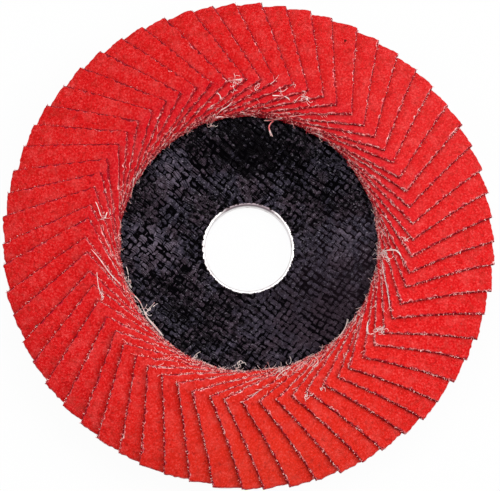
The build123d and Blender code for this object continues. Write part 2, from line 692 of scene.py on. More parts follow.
@dataclass(frozen=True)
class SteelFinish:
    """Bright pressed steel, with painted shade on the far side of its lip and grime along the lip's edge."""

    colour: Colour = srgb(226, 222, 223)
    worn: Colour = srgb(168, 158, 158)
    lip_shade: Colour = srgb(104, 84, 92)
    lip_shade_y: float = 12 * MM
    lip_shade_reach: float = 9 * MM
    lip: tuple[float, float] = (2.08 * MM, 2.6 * MM)
    smear_size: float = 2.2 * MM
    grime: Colour = srgb(34, 22, 22)
    grime_edge: tuple[float, float] = (11.72 * MM, 11.86 * MM)
    grime_step: float = 0.8 * MM
    grime_reach: float = 1.7 * MM

    def material(self) -> bpy.types.Material:
        """Makes the steel's material.

        Returns:
            The material.
        """
        graph = Graph("pressed_steel")
        place = graph.place()
        smear = graph.grain(place, self.smear_size, 4.0, 0.6)
        colour = graph.mix(smear.band(0.5, 0.72), self.colour, self.worn)
        lip = graph.axis(place, "Z").band(*self.lip)
        # Painted shade: the lip is darkened on its far side, towards +Y.
        away = graph.away(place, 0.0, self.lip_shade_y) + (smear - 0.5) * self.lip_shade_reach
        near = 1 - away.band(self.lip_shade_reach * 0.6, self.lip_shade_reach)
        colour = graph.mix(near * lip * 0.85, colour, self.lip_shade)
        bites = graph.grain(place, self.grime_step)
        edge = (graph.away(place) + (bites - 0.5) * self.grime_reach).band(*self.grime_edge)
        colour = graph.mix(edge * lip, colour, self.grime)
        return graph.finish(
            Base_Color=colour,
            Metallic=1.0,
            Roughness=0.24 + smear * 0.22 + edge * lip * 0.3,
            Normal=graph.bump(smear, 0.03 * MM),
        )


@dataclass(frozen=True)
class ResinFinish:
    """Cured adhesive under the flaps."""

    colour: Colour = srgb(92, 40, 30)
    pale: Colour = srgb(146, 82, 60)
    lump_size: float = 1.6 * MM

    def material(self) -> bpy.types.Material:
        """Makes the resin's material.

        Returns:
            The material.
        """
        graph = Graph("cured_resin")
        lumps = graph.grain(graph.place(), self.lump_size, 3.0)
        return graph.finish(
            Base_Color=graph.mix(lumps, self.colour, self.pale),
            Roughness=0.4,
            Normal=graph.bump(lumps, 0.2 * MM),
        )


@dataclass(frozen=True)
class FibreFinish:
    """Loose polyester fibres, stained here and there by the grit's resin, and darker towards the upper left
    by painted shade.
    """

    name: str = "loose_fibre"
    colour: Colour = srgb(255, 240, 236)
    stained: Colour = srgb(246, 128, 128)
    soaked: Colour = srgb(204, 24, 52)
    step: float = 2.5 * MM
    bare_share: tuple[float, float] = (0.5, 0.7)
    soaked_share: tuple[float, float] = (0.7, 0.9)
    clean: CleanCut = CleanCut()
    painted_shade_side: Spot = Spot(-14 * MM, 36 * MM, 70 * MM, 0.13, 21 * MM)

    def material(self) -> bpy.types.Material:
        """Makes the fibres' material.

        Returns:
            The material.
        """
        graph = Graph(self.name)
        place = graph.place()
        stain = graph.grain(place, self.step) + self.clean.share(graph, place) * 0.14
        # Painted shade: more of the fibres take the stained and soaked colours towards the upper left.
        stain += self.painted_shade_side.shown(graph, place) - self.painted_shade_side.share / 2
        colour = graph.mix(stain.band(*self.bare_share), self.colour, self.stained)
        return graph.finish(
            Base_Color=graph.mix(stain.band(*self.soaked_share), colour, self.soaked),
            Roughness=0.8,
            Specular_IOR_Level=0.25,
        )


@dataclass(frozen=True)
class FloorFinish:
    """Plain pale floor, near white to the camera, that keeps a soft shadow."""

    colour: Colour = srgb(235, 235, 235)
    glow: float = 0.96

    def material(self) -> bpy.types.Material:
        """Makes the floor's material.

        Returns:
            The material.
        """
        graph = Graph("floor")
        plain = graph.node("ShaderNodeBsdfDiffuse", None, {"Color": self.colour})
        white = graph.node("ShaderNodeEmission", None, {"Color": (1, 1, 1, 1), "Strength": 1.0})
        mixed = {0: graph.seen() * self.glow, 1: plain, 2: white}
        return graph.end(graph.node("ShaderNodeMixShader", None, mixed))


# ---- the disc's own shape ----


@dataclass(frozen=True)
class DiscShape:
    """Sizes that the flaps and the fibres share, in metres."""

    disc_radius: float = 62.8 * MM
    hub_radius: float = 20.5 * MM
    shoulder_radius: float = 29.5 * MM
    plate_front: float = 3.2 * MM
    depression: float = 7.4 * MM
    cone_slope: float = math.tan(math.radians(6.0))
    bend_reach: float = 1.1 * MM
    bed_lift: float = 0.55 * MM
    flap_count: int = 62
    flap_thickness: float = 1.0 * MM
    flap_gap: float = 0.15 * MM
    flap_lead: float = 23.4 * MM
    flap_tail: float = 3.6 * MM
    flap_root: float = 33.95 * MM
    flap_skew: float = math.tan(math.radians(2.6))
    flap_bow: float = 1.9 * MM
    droop_start: float = 51.5 * MM
    droop_bend: float = 24 * MM

    @property
    def pitch(self) -> float:
        """Angle from one flap to the next, in radians."""
        return 2 * math.pi / self.flap_count

    @property
    def flap_width(self) -> float:
        """Width of a flap, from its free edge to its glued edge."""
        return self.flap_lead + self.flap_tail

    @property
    def tip_reach(self) -> float:
        """Outer corner of the free edge, along the flap's axis."""
        return math.sqrt(self.disc_radius**2 - self.flap_lead**2)

    def plate_height(self, radius: float) -> float:
        """Height of the plate's front.

        Args:
            radius: Distance from the disc's axis.

        Returns:
            The height over the clamping face.
        """
        wall = self.depression / (self.shoulder_radius - self.hub_radius)
        rise = wall * self._bend(radius - self.hub_radius)
        return self.plate_front + rise - (wall + self.cone_slope) * self._bend(radius - self.shoulder_radius)

    def _bend(self, past: float) -> float:
        """Rounds off a bend of the plate.

        Args:
            past: Distance past the bend.

        Returns:
            That distance, 0 before the bend and rounded off around it.
        """
        if abs(past) < self.bend_reach:
            return (past + self.bend_reach) ** 2 / (4 * self.bend_reach)
        return max(past, 0.0)

    def on_plate(self, x: float, y: float, lift: float) -> Vector:
        """Place over the plate's front.

        Args:
            x: Place across the disc.
            y: Place up the disc.
            lift: Distance from the plate, square to it.

        Returns:
            The place in the disc's frame.
        """
        radius = math.hypot(x, y)
        step = 0.1 * MM
        slope = (self.plate_height(radius + step) - self.plate_height(radius - step)) / (2 * step)
        normal = Vector((-slope * x / radius, -slope * y / radius, 1)).normalized()
        return Vector((x, y, self.plate_height(radius))) + normal * lift

    def slant(self, radius: float) -> float:
        """Vertical thickness of a sheet lying there, per metre of sheet."""
        droop = max(0.0, radius - self.droop_start)
        return math.hypot(1, self.cone_slope + droop / self.droop_bend)

    def flap_height(self, radius: float, angle: float) -> float:
        """Height of a flap's underside.

        Args:
            radius: Distance from the disc's axis.
            angle: Angle from the flap's axis, in radians.

        Returns:
            The height over the clamping face.
        """
        droop = max(0.0, radius - self.droop_start)
        top = self.plate_front + self.depression + self.bed_lift
        bed = top - self.cone_slope * (radius - self.shoulder_radius)
        bed -= droop**2 / (2 * self.droop_bend)
        layers = (math.asin(self.flap_tail / radius) - angle) / self.pitch
        return bed + layers * (self.flap_thickness + self.flap_gap) * self.slant(radius)

    def top_height(self, x: float, y: float) -> float:
        """Height of what lies on top: a flap, or the plate inside the flaps.

        Args:
            x: Place across the disc.
            y: Place up the disc.

        Returns:
            The height over the clamping face.
        """
        radius, angle = math.hypot(x, y), math.atan2(y, x)
        root = self.flap_root - self.flap_skew * self.flap_lead
        if radius < root:
            return self.plate_height(radius)
        ahead = min(math.asin(min(self.flap_lead / radius, 1.0)), math.acos(root / radius))
        from_axis = (angle + ahead) % self.pitch - ahead
        return self.flap_height(radius, from_axis) + self.flap_thickness * self.slant(radius)


class Layer(Enum):
    """Levels of a flap's thickness."""

    UNDER = 0
    CLOTH = 1
    GRIT = 2


SIDES = (
    frozenset({Layer.GRIT}),
    frozenset({Layer.GRIT, Layer.CLOTH}),
    frozenset({Layer.CLOTH, Layer.UNDER}),
    frozenset({Layer.UNDER}),
)


@dataclass(frozen=True)
class FlapTraits:
    """What sets one flap apart from its neighbours.

    Attributes:
        slot: The flap's place in the row, from +X.
        turn: Extra turn of its outline, in radians.
        slide: Extra reach of its outline, in metres.
        curl: Lift of its free edge, in metres.
        sweep: How far the middle of its free edge is bowed in, in metres.
        seed: Offset of its ragged edges in the noise.
    """

    slot: int
    turn: float
    slide: float
    curl: float
    sweep: float
    seed: float


@dataclass
class FlapRing:
    """The ring of abrasive flaps, two to a piece, as their CAD nodes are."""

    shape: DiscShape
    rows: int = 56
    columns: int = 30
    flaps_per_piece: int = 2
    cloth_share: float = 0.6
    rag: float = 0.13 * MM
    rag_reach: float = 0.7 * MM
    rag_step: float = 0.9 * MM
    chip_step: float = 1.1 * MM
    least_fade: float = 0.02
    resin_band: float = 0.27 * MM
    fibre_band: float = 0.24 * MM
    rim_rag: float = 0.26 * MM
    turn_spread: float = math.radians(0.3)
    slide_spread: float = 0.28 * MM
    curl_spread: float = 0.4 * MM
    curl_width: float = 5.0 * MM
    drift: float = math.radians(0.5)
    drift_peak: float = math.radians(115)
    sweep: float = 0.2 * MM
    sweep_peak: float = math.radians(-45)
    column_bias: float = 1.25
    seed: int = 12
    traits: list[FlapTraits] = field(init=False)

    def __post_init__(self) -> None:
        """Draws every flap's traits."""
        rng = random.Random(self.seed)
        self.traits = [self._draw_traits(slot, rng) for slot in range(self.shape.flap_count)]

    def build(self) -> list[bpy.types.Object]:
        """Makes every pair of flaps and has it stand for its CAD node.

        Returns:
            The pieces.
        """
        finishes = [
            GritFinish().material(),
            FibreBandFinish().material(),
            ResinBandFinish().material(),
            ClothBackFinish().material(),
        ]
        pieces = []
        for first in range(0, self.shape.flap_count, self.flaps_per_piece):
            number = first // self.flaps_per_piece + 1
            mesh = bmesh.new()
            for traits in self.traits[first : first + self.flaps_per_piece]:
                self._add_flap(mesh, traits)
            piece = finished(f"abrasive_flaps_{number:02d}", mesh, finishes)
            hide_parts(f"flap_pair_{number:02d}")
            pieces.append(piece)
        return pieces

    def _draw_traits(self, slot: int, rng: random.Random) -> FlapTraits:
        """Draws one flap's own traits.

        The flaps are laid a little unevenly round the disc, and their free edges are
        bowed on one side of it more than on the other.

        Args:
            slot: The flap's place in the row.
            rng: The seeded source.

        Returns:
            The traits.
        """
        edge = slot * self.shape.pitch - math.asin(self.shape.flap_lead / self.shape.droop_start)
        spread = max(-2.0, min(2.0, rng.gauss(0, 1))) * self.turn_spread
        return FlapTraits(
            slot=slot,
            turn=spread - self.drift * math.cos(edge - self.drift_peak),
            slide=rng.uniform(-1, 1) * self.slide_spread,
            curl=rng.uniform(0.1, 1) * self.curl_spread,
            sweep=self.sweep * (1 + math.cos(edge - self.sweep_peak)),
            seed=slot * 7.3,
        )

    def _add_flap(self, mesh: bmesh.types.BMesh, traits: FlapTraits) -> None:
        """Adds one flap, as a unit grid thickened in two layers and then laid in place.

        Args:
            mesh: The piece's mesh.
            traits: The flap's own traits.
        """
        sheet = bmesh.new()
        bmesh.ops.create_grid(sheet, x_segments=self.rows, y_segments=self.columns, size=0.5)
        bmesh.ops.translate(sheet, vec=(0.5, 0.5, Layer.UNDER.value), verts=sheet.verts)
        uv = sheet.loops.layers.uv.new("UVMap")
        for layer in (Layer.CLOTH, Layer.GRIT):
            top = [face for face in sheet.faces if all(v.co.z == layer.value - 1 for v in face.verts)]
            raised = bmesh.ops.extrude_face_region(sheet, geom=top)["geom"]
            verts = [item for item in raised if isinstance(item, bmesh.types.BMVert)]
            bmesh.ops.translate(sheet, vec=(0, 0, 1), verts=verts)
            if layer is Layer.GRIT:
                bmesh.ops.delete(sheet, geom=top, context="FACES")
        bmesh.ops.recalc_face_normals(sheet, faces=sheet.faces)
        for face in sheet.faces:
            levels = {Layer(round(vert.co.z)) for vert in face.verts}
            face.material_index = SIDES.index(frozenset(levels))
            face.smooth = len(levels) == 1
            for loop in face.loops:
                loop[uv].uv = (loop.vert.co.x * self.shape.flap_width, loop.vert.co.y * self.shape.flap_width)
        for vert in sheet.verts:
            vert.co = self._laid(vert.co, traits)
        scratch = bpy.data.meshes.new("scratch")
        sheet.to_mesh(scratch)
        sheet.free()
        mesh.from_mesh(scratch)
        bpy.data.meshes.remove(scratch)

    def _laid(self, unit: Vector, traits: FlapTraits) -> Vector:
        """Place on the disc of a point of the unit sheet.

        Args:
            unit: Shares along and across the sheet, and its layer.
            traits: The flap's own traits.

        Returns:
            The place in the disc's frame.
        """
        shape = self.shape
        layer = Layer(round(unit.z))
        share = unit.y**self.column_bias
        root, tip = self._ends(share, traits)
        reach = root + (tip - root) * unit.x
        across = share * shape.flap_width - shape.flap_lead
        reach += self._edge_shift(reach - root, across, traits.seed, layer)
        reach -= self._rim_shift(tip - reach, across, traits.seed + 3.1, layer)
        across += self._edge_shift(across + shape.flap_lead, reach, traits.seed + 5.7, layer)
        depth = {Layer.UNDER: 0.0, Layer.CLOTH: self.cloth_share, Layer.GRIT: 1.0}[layer]
        return self._placed(reach, across, depth, traits)

    def _ends(self, share: float, traits: FlapTraits) -> tuple[float, float]:
        """Reach of a flap's inner and outer edge, on a line across it.

        Args:
            share: The line's place, from the free edge at 0 to the glued edge at 1.
            traits: The flap's own traits.

        Returns:
            The two reaches.
        """
        shape = self.shape
        root = shape.flap_root - shape.flap_skew * share * shape.flap_width
        tip = shape.tip_reach + 4 * shape.flap_bow * share * (1 - share)
        return root + traits.slide, tip + traits.slide

    def _placed(self, reach: float, across: float, depth: float, traits: FlapTraits) -> Vector:
        """Place on the disc of a point of a flap.

        Args:
            reach: The point's place along the flap.
            across: Its place across the flap.
            depth: Its share of the flap's thickness.
            traits: The flap's own traits.

        Returns:
            The place in the disc's frame.
        """
        shape = self.shape
        inside = across + shape.flap_lead
        share = (reach - shape.flap_root) / (shape.tip_reach - shape.flap_root)
        near = max(0.0, 1 - inside / shape.flap_width) ** 2
        across += traits.sweep * 4 * share * (1 - share) * near
        radius = math.hypot(reach, across)
        angle = math.atan2(across, reach) + traits.turn
        under = shape.flap_height(radius, angle)
        lift = traits.curl * max(0.0, 1 - inside / self.curl_width) ** 2
        height = under + lift + depth * shape.flap_thickness * shape.slant(radius)
        return polar(angle + traits.slot * shape.pitch, radius, height)

    def on_inner_edge(self, share: float, inside: float, depth: float, traits: FlapTraits) -> Vector:
        """Place on a flap's inner edge, by its share of the way from the free edge to the glued one."""
        across = share * self.shape.flap_width - self.shape.flap_lead
        return self._placed(self._ends(share, traits)[0] + inside, across, depth, traits)

    def on_free_edge(self, share: float, inside: float, depth: float, traits: FlapTraits) -> Vector:
        """Place on a flap's free edge, by its share of the way from the inner end to the tip."""
        root, tip = self._ends(0.0, traits)
        return self._placed(root + (tip - root) * share, inside - self.shape.flap_lead, depth, traits)

    def _edge_shift(self, inside: float, along: float, seed: float, layer: Layer) -> float:
        """How far a point near an edge is pulled in by raggedness and chipped grit.

        Args:
            inside: Distance of the point from the edge.
            along: Place along the edge.
            seed: Offset in the noise.
            layer: The point's layer; the grit is chipped back from the cloth.

        Returns:
            The shift away from the edge, in metres.
        """
        fade = math.exp(-max(inside, 0.0) / self.rag_reach)
        if fade < self.least_fade:
            return 0.0
        ragged = self._ragged(along, seed)
        loose = noise.noise(Vector((along / self.chip_step, seed, 9.0)))
        back = 0.0
        if layer is not Layer.UNDER:
            back += self.resin_band * (1 + 0.9 * loose)
        if layer is Layer.GRIT:
            back += self.fibre_band * max(0.7 + 2.0 * loose, 0.1)
        return fade * (ragged * self.rag + back)

    def _rim_shift(self, inside: float, along: float, seed: float, layer: Layer) -> float:
        """How far a point near the outer edge is pulled in by its frayed outline.

        Args:
            inside: Distance of the point from the edge.
            along: Place along the edge.
            seed: Offset in the noise.
            layer: The point's layer; the grit wears back a little from the cloth.

        Returns:
            The shift away from the edge, in metres.
        """
        fade = math.exp(-max(inside, 0.0) / self.rag_reach)
        if fade < self.least_fade:
            return 0.0
        worn = 0.35 if layer is Layer.GRIT else 0.0
        return fade * self.rim_rag * (self._ragged(along, seed) + worn)

    def _ragged(self, along: float, seed: float) -> float:
        """Uneven outline of a cut edge: a number about 0, mostly between -1 and 1."""
        spot = Vector((along / self.rag_step, seed, 0.0))
        return noise.noise(spot) + 0.6 * noise.noise(spot * 2.7)


# ---- fibres ----


@dataclass(frozen=True)
class Strand:
    """A loose thread, as seen from the working side.

    Attributes:
        points: Its route over the disc, (x, y) in millimetres.
        lift: Height of its middle over what it lies on, in millimetres.
        thickness: Its diameter, in millimetres.
        plies: Number of fibres that it is made of.
    """

    points: tuple[tuple[float, float], ...]
    lift: float = 0.5
    thickness: float = 0.13
    plies: int = 1


@dataclass(frozen=True)
class Tuft:
    """A tangle of fibres pulled out of the cut edges.

    Attributes:
        x: Place across the disc, in millimetres.
        y: Place up the disc, in millimetres.
        reach: How far its fibres spread, in millimetres.
        count: Number of its fibres.
    """

    x: float
    y: float
    reach: float
    count: int


@dataclass(frozen=True)
class Fibre:
    """One fibre as it is built.

    Attributes:
        points: Its route in the disc's frame.
        thickness: Its diameter, in metres.
        smooth: Whether it bends smoothly; if not, it runs straight from point to point.
    """

    points: list[Vector]
    thickness: float
    smooth: bool = True


@dataclass
class Fibres:
    """Nubs and fuzz along the cut edges, and the longer threads pulled out of them."""

    shape: DiscShape
    ring: FlapRing
    inner_nubs: int = 104
    free_nubs: int = 54
    nub_length: tuple[float, float] = (0.16 * MM, 0.5 * MM)
    nub_thickness: tuple[float, float] = (0.07 * MM, 0.17 * MM)
    nub_inset: tuple[float, float] = (0.1 * MM, 0.35 * MM)
    nub_depth: tuple[float, float] = (0.7, 1.05)
    nub_spread: float = 0.8
    fuzz_per_flap: int = 16
    fuzz_length: tuple[float, float] = (0.5 * MM, 1.8 * MM)
    fuzz_thickness: float = 0.08 * MM
    fuzz_depth: tuple[float, float] = (0.6, 1.1)
    fuzz_spread: float = 0.45
    tuft_points: int = 5
    tuft_rise: tuple[float, float] = (0.1 * MM, 0.6 * MM)
    tuft_thickness: tuple[float, float] = (0.08 * MM, 0.15 * MM)
    seed: int = 5
    threads: tuple[Strand, ...] = (
        Strand(((-6.3, 40.7), (-4.8, 40.9), (-3.2, 40.6), (-1.9, 41.3)), 0.6, 0.16, 3),
        Strand(((-5.0, 42.3), (-4.5, 41.2), (-5.0, 39.9)), 0.5, 0.14, 2),
        Strand(((5.0, 37.0), (7.0, 37.2), (8.6, 36.9), (9.4, 36.3)), 0.6, 0.16, 2),
        Strand(((8.7, 39.0), (7.5, 37.7), (6.5, 38.3)), 0.6, 0.14),
        Strand(((4.4, 40.0), (5.7, 40.8), (6.5, 42.6)), 0.5, 0.14),
        Strand(((-9.3, 37.7), (-8.5, 37.1), (-8.0, 35.8)), 0.5, 0.16, 2),
        Strand(((-8.1, 33.7), (-6.4, 34.3), (-5.4, 35.3), (-4.6, 35.8)), 0.5, 0.15, 2),
        Strand(((-10.5, 30.2), (-9.8, 31.5), (-8.6, 31.9), (-7.3, 32.2)), 0.4, 0.16, 3),
        Strand(((-11.1, 31.7), (-10.8, 30.9), (-9.7, 30.2)), 0.4, 0.12),
        Strand(((-17.4, 27.7), (-17.2, 28.2), (-16.2, 29.1)), 0.4, 0.14, 2),
        Strand(((-3.0, 33.3), (-1.2, 33.2), (0.9, 32.8)), 0.4, 0.13, 2),
        Strand(((3.3, 32.1), (5.4, 32.1), (7.5, 32.2)), 0.5, 0.16, 3),
        Strand(((5.4, 32.1), (4.4, 30.7), (4.6, 29.4), (5.2, 28.2)), 0.5, 0.2, 3),
        Strand(((9.5, 32.4), (11.5, 32.4), (13.3, 32.6)), 0.5, 0.15),
        Strand(((14.8, 29.3), (16.6, 28.5), (18.4, 27.6)), 0.4, 0.16, 2),
        Strand(((10.6, 35.4), (11.6, 37.0), (13.1, 37.0), (14.4, 36.7)), 0.6, 0.12),
        Strand(((32.7, -1.9), (34.0, -1.7), (36.0, -1.6), (37.5, -2.2), (38.2, -3.5)), 0.7, 0.16, 2),
        Strand(((33.6, -4.8), (34.0, -8.3), (35.0, -12.2), (35.5, -16.9)), 0.5, 0.14),
        Strand(((30.1, -20.4), (29.6, -23.3), (31.0, -23.9), (32.8, -22.5)), 0.5, 0.18, 2),
        Strand(((38.2, 1.6), (39.2, 1.2), (40.0, 0.1)), 0.4, 0.13),
        Strand(((28.2, -18.4), (27.5, -17.0), (27.0, -19.6)), 0.4, 0.14, 2),
        Strand(((25.4, -18.8), (25.0, -20.9), (23.8, -23.1)), 0.4, 0.15, 2),
        Strand(
            ((-30.1, -13.0), (-27.7, -14.8), (-26.7, -17.1), (-25.6, -19.6), (-23.5, -21.8), (-21.5, -24.1)),
            0.4,
            0.17,
            3,
        ),
        Strand(((-26.4, -18.8), (-24.9, -17.5), (-23.1, -15.8)), 0.5, 0.14, 2),
        Strand(((-25.6, -17.8), (-24.7, -17.0), (-23.7, -15.6)), 0.5, 0.12),
        Strand(((-13.8, -30.3), (-13.0, -28.5), (-11.8, -28.0)), 0.4, 0.14),
        Strand(((-4.8, -32.2), (-3.1, -31.4), (-1.8, -30.4)), 0.4, 0.12),
        Strand(((16.3, -32.1), (17.4, -31.3), (17.9, -30.2), (17.1, -29.4)), 0.5, 0.14),
        Strand(((7.3, -35.0), (8.4, -33.3), (10.9, -31.9)), 0.5, 0.14, 2),
        Strand(((1.3, -39.9), (2.3, -38.8), (3.8, -38.0)), 0.4, 0.13),
        Strand(((10.8, -28.6), (11.6, -29.8), (10.8, -30.6)), 0.4, 0.12),
        Strand(((-39.3, 8.6), (-38.6, 7.2), (-37.8, 4.9), (-36.7, 4.2), (-36.3, 6.1)), 0.5, 0.17, 2),
        Strand(((-39.8, -3.7), (-37.7, -6.1), (-35.7, -8.7), (-33.1, -11.6), (-30.1, -13.0)), 0.4, 0.17, 2),
        Strand(((-38.4, -9.6), (-38.1, -12.4), (-37.5, -14.8), (-36.5, -15.8)), 0.5, 0.14),
        Strand(((-29.7, 15.3), (-30.1, 13.0), (-30.6, 11.2)), 0.4, 0.18, 3),
        Strand(((-31.0, -6.6), (-30.4, -8.7), (-30.6, -10.7), (-29.6, -12.0)), 0.4, 0.13, 2),
    )
    tufts: tuple[Tuft, ...] = (
        Tuft(-4.5, 40.6, 1.5, 14),
        Tuft(0.8, 39.3, 0.8, 6),
        Tuft(10.3, 40.3, 0.6, 5),
        Tuft(7.0, 37.4, 0.8, 5),
        Tuft(12.9, 36.7, 1.5, 10),
        Tuft(34.1, -3.2, 1.5, 16),
        Tuft(33.2, -22.4, 1.1, 14),
        Tuft(8.9, -33.0, 1.3, 10),
        Tuft(14.6, -39.5, 0.9, 8),
        Tuft(-36.8, -15.6, 0.9, 6),
        Tuft(-37.0, 4.5, 0.8, 6),
        Tuft(-1.8, -31.1, 1.3, 8),
        Tuft(-10.0, 31.2, 1.3, 8),
        Tuft(-26.2, -17.8, 1.5, 10),
        Tuft(39.0, 1.1, 0.8, 5),
        Tuft(18.6, -37.1, 0.8, 5),
        Tuft(-13.0, -29.1, 0.8, 5),
        Tuft(-30.4, -9.9, 1.0, 8),
    )

    def build(self) -> list[bpy.types.Object]:
        """Makes the nubs, the fuzz, the threads and the tufts.

        Returns:
            The pieces.
        """
        rng = random.Random(self.seed)
        loose = FibreFinish().material()
        cut = FibreFinish(
            name="cut_fibre",
            colour=srgb(255, 208, 202),
            stained=srgb(242, 112, 110),
            soaked=srgb(198, 18, 42),
            step=0.7 * MM,
            bare_share=(0.41, 0.49),
            soaked_share=(0.51, 0.59),
        ).material()
        fluff = FibreFinish(
            name="edge_fluff",
            colour=srgb(255, 226, 222),
            stained=srgb(246, 128, 126),
            step=1.4 * MM,
            bare_share=(0.47, 0.56),
            soaked_share=(0.56, 0.64),
        ).material()
        threads = [fibre for strand in self.threads for fibre in self._twist(strand, rng)]
        threads += [fibre for tuft in self.tufts for fibre in self._tangle(tuft, rng)]
        pieces = [
            tubes("edge_nubs", list(self._nubs(rng)), cut),
            tubes("edge_fuzz", list(self._fuzz(rng)), fluff),
            tubes("pulled_threads", threads, loose),
        ]
        return pieces

    def _twist(self, strand: Strand, rng: random.Random) -> Iterator[Fibre]:
        """Fibres of a thread, each on its own way round the others.

        Args:
            strand: The thread.
            rng: The seeded source.

        Yields:
            The fibres.
        """
        last = len(strand.points) - 1
        spread = strand.thickness * MM * (0.0 if strand.plies == 1 else 0.8)
        for _ in range(strand.plies):
            route = []
            for index, (x, y) in enumerate(strand.points):
                bow = math.sin(math.pi * (0.15 + 0.7 * index / last))
                height = self.shape.top_height(x * MM, y * MM) + strand.lift * bow * MM
                aside = Vector((rng.gauss(0, 1), rng.gauss(0, 1), rng.uniform(0, 1))) * spread
                route.append(Vector((x * MM, y * MM, height)) + aside)
            yield Fibre(route, strand.thickness * MM)

    def _tangle(self, tuft: Tuft, rng: random.Random) -> Iterator[Fibre]:
        """Curly fibres of a tuft.

        Args:
            tuft: The tuft.
            rng: The seeded source.

        Yields:
            The fibres.
        """
        reach = tuft.reach * MM
        for _ in range(tuft.count):
            x = tuft.x * MM + rng.gauss(0, 0.35) * reach
            y = tuft.y * MM + rng.gauss(0, 0.35) * reach
            heading = rng.uniform(0, 2 * math.pi)
            curl = rng.choice((-1, 1)) * rng.uniform(0.3, 1.3)
            rise = rng.uniform(*self.tuft_rise)
            step = reach * rng.uniform(0.25, 0.5)
            route = []
            for index in range(self.tuft_points):
                lift = max(rise * math.sin(0.4 + 0.6 * index), 0.05 * MM)
                route.append(Vector((x, y, self.shape.top_height(x, y) + lift)))
                x += math.cos(heading) * step
                y += math.sin(heading) * step
                heading += curl + rng.gauss(0, 0.3)
            yield Fibre(route, rng.uniform(*self.tuft_thickness))

    def _nubs(self, rng: random.Random) -> Iterator[Fibre]:
        """Ends of cut yarns that stick out of the flaps' inner and free edges.

        Args:
            rng: The seeded source.

        Yields:
            The nubs.
        """
        for traits in self.ring.traits:
            axis = traits.slot * self.shape.pitch + traits.turn
            for number in range(self.inner_nubs + self.free_nubs):
                inner = number < self.inner_nubs
                place = self.ring.on_inner_edge if inner else self.ring.on_free_edge
                foot = place(rng.random(), rng.uniform(*self.nub_inset), rng.uniform(*self.nub_depth), traits)
                outward = axis + (math.pi if inner else -math.pi / 2) + rng.gauss(0, self.nub_spread)
                tip = foot + polar(outward, 1.0, rng.uniform(-0.3, 0.5)) * rng.uniform(*self.nub_length)
                yield Fibre([foot, tip], rng.uniform(*self.nub_thickness), smooth=False)

    def _fuzz(self, rng: random.Random) -> Iterator[Fibre]:
        """Short loose fibres, most of them where the flaps' inner edges crowd together.

        Args:
            rng: The seeded source.

        Yields:
            The fibres.
        """
        for traits in self.ring.traits:
            axis = traits.slot * self.shape.pitch
            thick = 1.0 + 0.9 * noise.noise(Vector((traits.slot / 4.0, 0.5, 0.0)))
            for _ in range(int(self.fuzz_per_flap * max(thick, 0.3))):
                share = 0.95 * rng.random() ** 0.6
                foot = self.ring.on_inner_edge(share, 0.0, rng.uniform(*self.fuzz_depth), traits)
                heading = axis + math.pi / 2 * rng.choice((-1, 1)) + rng.gauss(0.0, self.fuzz_spread)
                yield Fibre(self._sprout(foot, heading, rng), self.fuzz_thickness)

    def _sprout(self, foot: Vector, heading: float, rng: random.Random) -> list[Vector]:
        """Route of one short fibre out of a flap's inner edge.

        Args:
            foot: Where it leaves the edge.
            heading: Its direction there, in radians.
            rng: The seeded source.

        Returns:
            Its points.
        """
        length = rng.uniform(*self.fuzz_length)
        climb = rng.uniform(0.0, 0.3)
        swerve = rng.gauss(0.0, 0.5)
        points = [foot]
        for _ in range(3):
            points.append(points[-1] + polar(heading, 1.0, climb).normalized() * length / 3)
            heading += swerve * 0.5
            climb -= 0.25
        return points


def tubes(name: str, fibres: Sequence[Fibre], finish: bpy.types.Material) -> bpy.types.Object:
    """One mesh of thin tubes along fibres.

    Args:
        name: The piece's name.
        fibres: The fibres.
        finish: Their material.

    Returns:
        The piece.
    """
    curve = bpy.data.curves.new(name, "CURVE")
    curve.dimensions = "3D"
    curve.bevel_depth = MM / 2
    curve.bevel_resolution = 0
    curve.resolution_u = 3
    curve.use_fill_caps = True
    for fibre in fibres:
        spline = curve.splines.new("NURBS" if fibre.smooth else "POLY")
        spline.points.add(len(fibre.points) - 1)
        for point, place in zip(spline.points, fibre.points):
            point.co = (*place, 1.0)
            point.radius = fibre.thickness / MM
        if fibre.smooth:
            spline.order_u = 3
            spline.use_endpoint_u = True
    holder = bpy.data.objects.new(name, curve)
    mesh = bpy.data.meshes.new_from_object(holder)
    bpy.data.objects.remove(holder)
    bpy.data.curves.remove(curve)
    made = bmesh.new()
    made.from_mesh(mesh)
    bpy.data.meshes.remove(mesh)
    for face in made.faces:
        face.smooth = True
    return finished(name, made, [finish])


def finished(
    name: str, mesh: bmesh.types.BMesh, finishes: Sequence[bpy.types.Material]
) -> bpy.types.Object:
    """Turns a mesh into a piece of the disc.

    Args:
        name: The piece's name.
        mesh: Its mesh, which is freed.
        finishes: Its materials, by index.

    Returns:
        The piece, riding on the disc.
    """
    data = bpy.data.meshes.new(name)
    mesh.to_mesh(data)
    mesh.free()
    for finish in finishes:
        data.materials.append(finish)
    piece = added(name, data)
    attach(piece, BODY)
    return piece


# ---- the plate's cloth ----


